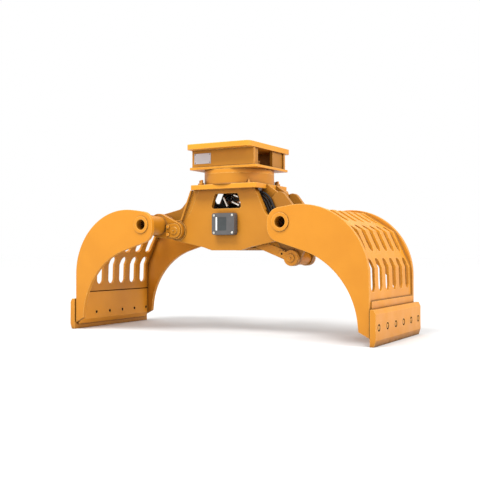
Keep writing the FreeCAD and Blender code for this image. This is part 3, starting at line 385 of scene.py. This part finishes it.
def finish_mesh(name, build, body, material, smooth=True):
    """Turn a bmesh into a piece that rides on a body."""
    bmesh.ops.recalc_face_normals(build, faces=build.faces)
    mesh = bpy.data.meshes.new(name)
    build.to_mesh(mesh)
    build.free()
    for face in mesh.polygons:
        face.use_smooth = smooth
    mesh.materials.append(material)
    piece = bpy.data.objects.new(name, mesh)
    bpy.context.collection.objects.link(piece)
    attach(piece, body)


def add_ring(build, centre, across, up, radius, sides):
    """One ring of points round a centre."""
    return [build.verts.new((centre + (across * math.cos(a) + up * math.sin(a)) * radius) * MM)
            for a in (2 * math.pi * k / sides for k in range(sides))]


def skin(build, rings, endless=False):
    """Faces between a row of rings. An endless row closes on its first ring, another gets both its ends."""
    for a, b in zip(rings, rings[1:] + rings[:1] if endless else rings[1:]):
        for k in range(len(a)):
            build.faces.new((a[k], a[(k + 1) % len(a)], b[(k + 1) % len(a)], b[k]))
    if not endless:
        build.faces.new(rings[0])
        build.faces.new(rings[-1])


def resample(points, step, endless):
    """Points about one step apart along straight runs."""
    corners = points + points[:1] if endless else points
    line = []
    for a, b in zip(corners, corners[1:]):
        count = max(1, round((b - a).length / step))
        line += [a.lerp(b, i / count) for i in range(count)]
    return line if endless else line + [corners[-1]]


def add_bead(build, points, radius, endless=False):
    """Weld bead along a line. Its ripples are 7 mm apart, drawn coarser than the real 2 mm."""
    ripple, dip, sides = 7.0, 0.86, 6
    line = resample([Vector(p) for p in points], ripple / 2, endless)
    rings = []
    for i, point in enumerate(line):
        ahead = line[(i + 1) % len(line)] if endless or i + 1 < len(line) else point
        behind = line[i - 1] if endless or i else point
        along = (ahead - behind).normalized()
        steep = abs(along.z) >= 0.9
        across = along.orthogonal().normalized() if steep else (Vector((0, 0, 1)) - along * along.z).normalized()
        rings.append(add_ring(build, point, across, along.cross(across), radius * (1.0 if i % 2 else dip), sides))
    skin(build, rings, endless)


def circle(x, y, z, radius, axis, count=48):
    """Points round an axis, Y or Z."""
    spots = []
    for i in range(count):
        a, b = radius * math.cos(2 * math.pi * i / count), radius * math.sin(2 * math.pi * i / count)
        spots.append((x + a, y, z + b) if axis == "Y" else (x + a, y + b, z))
    return spots


def add_turned(build, profile, place, direction, sides=20, hollow=False):
    """Turned form from (radius, height) pairs; 6 sides make a hexagon, and a hollow one keeps its bore open."""
    turn = Vector(direction).to_track_quat("Z", "Y")
    across, up, along = turn @ Vector((1, 0, 0)), turn @ Vector((0, 1, 0)), turn @ Vector((0, 0, 1))
    skin(build, [add_ring(build, Vector(place) + along * height, across, up, radius, sides)
                 for radius, height in profile], hollow)


def add_bar(build, low, high):
    """Square bar between two corners."""
    made = bmesh.ops.create_cube(build, size=1.0)["verts"]
    middle = (Vector(low) + Vector(high)) / 2
    size = Vector(high) - Vector(low)
    for vert in made:
        vert.co = (Vector([c * s for c, s in zip(vert.co, size)]) + middle) * MM


def add_plate(build, outline, low_y, high_y):
    """Flat plate with an outline of (x, z) points, between two depths."""
    front = [build.verts.new((x * MM, low_y * MM, z * MM)) for x, z in outline]
    back = [build.verts.new((x * MM, high_y * MM, z * MM)) for x, z in outline]
    skin(build, [front, back])


def curve_through(points, pieces):
    """Smooth curve that passes through its points."""
    spots = [Vector(p) for p in points]
    spots = [spots[0] * 2 - spots[1]] + spots + [spots[-1] * 2 - spots[-2]]
    line = []
    for a, b, c, d in zip(spots, spots[1:], spots[2:], spots[3:]):
        for i in range(pieces):
            t = i / pieces
            line.append(0.5 * (2 * b + (c - a) * t + (2 * a - 5 * b + 4 * c - d) * t ** 2
                               + (3 * b - a - 3 * c + d) * t ** 3))
    return line + [spots[-2]]


def add_hose(build, line, radius, sides=10):
    """Round hose along a line, its rings turned as little as they can be."""
    rings = []
    across = None
    for i, point in enumerate(line):
        along = (line[min(i + 1, len(line) - 1)] - line[max(i - 1, 0)]).normalized()
        across = along.orthogonal() if across is None else across - along * along.dot(across)
        across.normalize()
        rings.append(add_ring(build, point, across, along.cross(across), radius, sides))
    skin(build, rings)


# Pieces

def weld_shells(finishes):
    """Beads of each shell: back plate to side plates and lip, tube to plates, ears and levers."""
    outer = [LIP_TOP]
    for degrees in BENDS:
        angle = math.radians(degrees)
        outer.append((JAW_CENTRE[0] + BEND_RADIUS * math.cos(angle), JAW_CENTRE[1] + BEND_RADIUS * math.sin(angle)))
    for side, body in SHELLS:
        build = bmesh.new()
        tube_x, tube_z = side * TUBE[0], TUBE[1]
        for y in (-SIDE_INNER_Y, SIDE_INNER_Y):
            # A bead's middle lies 1.5 mm inside the side plate's face.
            edge_y = y - math.copysign(1.5, y)
            add_bead(build, [(side * x, edge_y, z) for x, z in outer], PLATE_BEAD)
            add_bead(build, circle(tube_x, edge_y, tube_z, TUBE_RADIUS + 1, "Y"), ROUND_BEAD, True)
        add_bead(build, [(side * LIP_TOP[0], y, LIP_TOP[1] + 1) for y in (-SIDE_INNER_Y, SIDE_INNER_Y)], PLATE_BEAD)
        for y in EAR_FACES_Y + LEVER_FACES_Y:
            for at in (-y, y):
                add_bead(build, circle(tube_x, at, tube_z, TUBE_RADIUS + 1, "Y"), LIGHT_BEAD, True)
        finish_mesh(body + "_welds", build, body, finishes["weld_paint"])


def weld_frame_and_head(finishes):
    """Beads under the frame's top plate, round the drum's foot, and along the head's long sides."""
    build = bmesh.new()
    low_z, high_z = TOP_PLATE_Z
    for y in (-FRAME_OUTER_Y - 1, FRAME_OUTER_Y + 1):
        add_bead(build, [(-FRAME_SHOULDER_X, y, low_z), (FRAME_SHOULDER_X, y, low_z)], ROUND_BEAD)
    add_bead(build, circle(0, 0, high_z + 1, DRUM_RADIUS, "Z", 72), ROUND_BEAD, True)
    finish_mesh("frame_welds", build, "frame", finishes["weld_paint"])
    build = bmesh.new()
    for y in (-HEAD_HALF[1] - 1, HEAD_HALF[1] + 1):
        for z in (HEAD_BASE_Z, HEAD_TOP_Z):
            add_bead(build, [(-HEAD_HALF[0], y, z), (HEAD_HALF[0], y, z)], LIGHT_BEAD)
    finish_mesh("head_welds", build, "head", finishes["weld_paint"])


def add_nipple(build, axis, end_y):
    """Painted grease nipple in the end of a pin: a hexagon base with a turned neck and ball."""
    out = math.copysign(1, end_y)
    add_turned(build, [(5.5, 0), (5.5, 5), (4.6, 6)], (axis[0], end_y, axis[1]), (0, out, 0), 6)
    add_turned(build, [(2.8, 0), (2.2, 3), (3.2, 5), (3.2, 7), (1.5, 9)], (axis[0], end_y + out * 6, axis[1]),
               (0, out, 0), 12)


def add_nipples(finishes):
    """Grease nipples in the ends of the hinge pins and of the lower link pin."""
    for side, body in SHELLS:
        build = bmesh.new()
        pins = [((side * HINGE[0], HINGE[1]), HINGE_PIN_END_Y)]
        if side > 0:
            pins.append((LINK_PIN, LINK_PIN_END_Y))
        for axis, end_y in pins:
            for out in (-1, 1):
                add_nipple(build, axis, out * end_y)
        finish_mesh(body + "_grease_nipples", build, body, finishes["shaded_paint"], False)


def add_box_print(finishes):
    """Pale print on the grey box and its pane: a strip, a dot and a bar, with no lettering."""
    build = bmesh.new()
    ink = 0.6
    pane_y = BOX_FRONT_Y + PANE_SUNK
    add_bar(build, (-53, BOX_FRONT_Y - ink, 656), (-43, BOX_FRONT_Y, 739))
    add_turned(build, [(5, 0), (5, ink)], (-14, pane_y, 727), (0, -1, 0))
    add_bar(build, (-22, pane_y - ink, 678), (24, pane_y, 686))
    finish_mesh("box_print", build, "frame", finishes["pale_ink"], False)


def add_name_plate_screws(finishes):
    """Small round-headed screws in the plate's four corners."""
    build = bmesh.new()
    face_y = -HEAD_HALF[1] - NAME_PLATE_THICK
    for x in (NAME_PLATE[0] - 55, NAME_PLATE[0] + 55):
        for z in (NAME_PLATE[1] - 26, NAME_PLATE[1] + 26):
            add_turned(build, [(3.6, 0), (3.4, 1.4), (2.0, 2.2)], (x, face_y, z), (0, -1, 0), 14)
    finish_mesh("name_plate_screws", build, "head", finishes["dark_steel"])


def add_top_fittings(finishes):
    """Painted points on the frame's top plate, the ring's bolts in the head, and hose fittings in its ends."""
    build = bmesh.new()
    for turn in (1, -1):
        add_turned(build, [(12, 0), (12, 8), (8, 12), (3, 28), (1, 32)],
                   (turn * TOP_POINT[0], turn * TOP_POINT[1], TOP_PLATE_Z[1]), (0, 0, 1), 6)
    finish_mesh("top_plate_points", build, "frame", finishes["orange_paint"], False)
    build = bmesh.new()
    washer = 3
    for x, y, z in circle(0, 0, HEAD_BASE_Z, RING_BOLT_CIRCLE, "Z", 2 * RING_BOLTS)[1::2]:
        add_turned(build, [(13, 0), (13, washer)], (x, y, z), (0, 0, 1))
        add_turned(build, [(11, 0), (11, 11), (9, 13)], (x, y, z + washer), (0, 0, 1), 6)
    finish_mesh("ring_bolts", build, "head", finishes["dark_steel"], False)
    build = bmesh.new()
    for turn in (1, -1):
        add_turned(build, [(11, 0), (11, 6), (7, 8), (7, 22), (9, 23), (9, 28), (5, 30)],
                   (turn * END_STUD[0], turn * END_STUD[1], HEAD_BASE_Z), (0, 0, 1), 16)
    finish_mesh("head_end_studs", build, "head", finishes["weld_paint"])


def add_port_plugs(finishes):
    """Hexagon plugs in the ports of the cylinder's barrel."""
    build = bmesh.new()
    for x in PORTS_X:
        add_turned(build, [(12, 0), (12, 7), (10, 9)], (x, 0, PORT_Z), (0, 0, 1), 6)
    finish_mesh("port_plugs", build, "barrel", finishes["zinc_steel"], False)


def add_edge_flanges(finishes):
    """Flange that stands out along the frame's left sloped edge, and its partner at the rear right."""
    build = bmesh.new()
    low_z, high_z = 727.0, TOP_PLATE_Z[0]
    low_x, high_x = -327.0, -250.0
    wide, proud, laps = 11.0, 18.0, 2.0
    strip = ((high_x, high_z), (low_x, low_z), (low_x - wide, low_z), (high_x - wide, high_z))
    web = ((high_x, high_z), (low_x, low_z), (-270, low_z), (-236, 790), (15 - FRAME_SHOULDER_X, high_z))
    for turn in (1, -1):
        for outline, outer_y, inner_y in ((strip, FRAME_OUTER_Y + proud, FRAME_INNER_Y - laps),
                                          (web, FRAME_OUTER_Y - 0.5, FRAME_INNER_Y + 1)):
            add_plate(build, [(turn * x, z) for x, z in outline], *sorted((-turn * outer_y, -turn * inner_y)))
    finish_mesh("frame_edge_flanges", build, "frame", finishes["shaded_paint"], False)


def add_boss_rims(finishes):
    """Raised rims round the hinge bores on both frame plates."""
    build = bmesh.new()
    for x in (-HINGE[0], HINGE[0]):
        for out in (-1, 1):
            add_turned(build, [(61, 0), (61, 4.6), (68, 4.6), (69, 3.5), (69, 0)],
                       (x, out * FRAME_OUTER_Y, HINGE[1]), (0, out, 0), 48, True)
    finish_mesh("frame_boss_rims", build, "frame", finishes["shaded_paint"])


# Points that the hoses behind the window pass through
MOTOR_HOSES = (
    ((-134, -26, 921), (-150, -56, 911), (-144, -84, 894), (-138, -92, 862), (-122, -92, 832), (-100, -92, 822),
     (-78, -88, 832), (-68, -76, 858), (-68, -40, 878), (-54, -4, 886)),
    ((-80, -28, 921), (-72, -56, 902), (-76, -82, 872), (-76, -92, 838), (-62, -94, 816), (-48, -88, 832),
     (-52, -64, 860), (-46, -28, 874)),
)
# Each swivel hose has its bright ferrule between the fourth and the fifth point, and ends on the block's top.
SWIVEL_HOSES = (
    ((-28, -46, 882), (-44, -84, 886), (-50, -116, 880), (-42, -131, 870), (-11, -131, 810), (0, -132, 784),
     (4, -132, 757)),
    ((-24, -36, 873), (-28, -78, 862), (-18, -110, 858), (21, -131, 841), (77, -131, 815), (92, -132, 790),
     (92, -132, 757)),
    ((-12, -54, 901), (-16, -86, 900), (-8, -114, 897), (34, -131, 884), (68, -131, 872), (112, -132, 826),
     (124, -132, 757)),
)
BLOCK_TOP_Z = 757.0


def add_window_hoses(finishes):
    """Hoses behind the window: two from the slewing motor, three from the swivel to a block under the window."""
    hoses, fittings = bmesh.new(), bmesh.new()
    for route in MOTOR_HOSES:
        add_hose(hoses, curve_through(route, 6), 7.0)
    for route in SWIVEL_HOSES:
        add_hose(hoses, curve_through(route, 8), 5.5)
        start, stop = Vector(route[3]), Vector(route[4])
        long = (stop - start).length
        add_turned(fittings, [(6.0, 0), (7.2, 3), (7.2, long - 14), (8.4, long - 14), (8.4, long - 3), (6.0, long)],
                   start, (stop - start).normalized(), 12)
    add_bar(fittings, (-14, 0.5 - FRAME_INNER_Y, BLOCK_TOP_Z - 41), (142, 16.5 - FRAME_INNER_Y, BLOCK_TOP_Z))
    for route in SWIVEL_HOSES:
        add_turned(fittings, [(7.5, 0), (7.5, 9), (6.5, 11)], (route[-1][0], 9 - FRAME_INNER_Y, BLOCK_TOP_Z),
                   (0, 0, 1), 6)
    finish_mesh("motor_hoses", hoses, "frame", finishes["hose_rubber"])
    finish_mesh("hose_ferrules", fittings, "frame", finishes["zinc_steel"], False)


def dress_blade_bolts(finishes):
    """A painted cap over each bolt's socket, and dark rings of painted shadow round its head, on its end and along
    the lip's seam.
    """
    for side, body in SHELLS:
        painted_shadow, caps = bmesh.new(), bmesh.new()
        out = (side, 0, 0)
        for i in range(BLADE_BOLTS):
            y = (i - (BLADE_BOLTS - 1) / 2) * BLADE_BOLT_PITCH
            # Painted shadow: dark rings round the bolt heads, discs on the bolt ends and a bead under the lip's
            # ledge stand in for the shade there.
            add_turned(painted_shadow, [(13.5, 0), (20.9, 0), (20.9, 0.8), (13.5, 0.8)],
                       (side * (BLADE_FACE_X - 0.9), y, BLADE_BOLT_Z), out, 28, True)
            add_turned(painted_shadow, [(8.0, 0), (8.0, 0.4)], (side * (LIP_INNER_X - 0.4), y, BLADE_BOLT_Z), out, 16)
            add_turned(caps, [(14.0, 0), (13.6, 0.4), (8.0, 0.8)], (side * (BLADE_FACE_X - 1.2), y, BLADE_BOLT_Z),
                       out, 24)
        add_bead(painted_shadow, [(side * (LIP_INNER_X - 1), y, LIP_TOP[1] + 1) for y in (2 - SIDE_INNER_Y, SIDE_INNER_Y - 2)],
                 3.2)
        finish_mesh(body + "_bolt_shadow_rings", painted_shadow, body, finishes["shadow_soil"], False)
        finish_mesh(body + "_bolt_caps", caps, body, finishes["orange_paint"], False)


def model():
    """Camera, lamps, floor and finishes, then the pieces that the solids do not have."""
    place_camera()
    light_studio()
    lay_floor(floor_paper())
    finishes = make_finishes()
    paint_nodes(finishes)
    weld_shells(finishes)
    weld_frame_and_head(finishes)
    add_nipples(finishes)
    add_box_print(finishes)
    add_name_plate_screws(finishes)
    add_top_fittings(finishes)
    add_port_plugs(finishes)
    add_edge_flanges(finishes)
    add_boss_rims(finishes)
    add_window_hoses(finishes)
    dress_blade_bolts(finishes)


model()
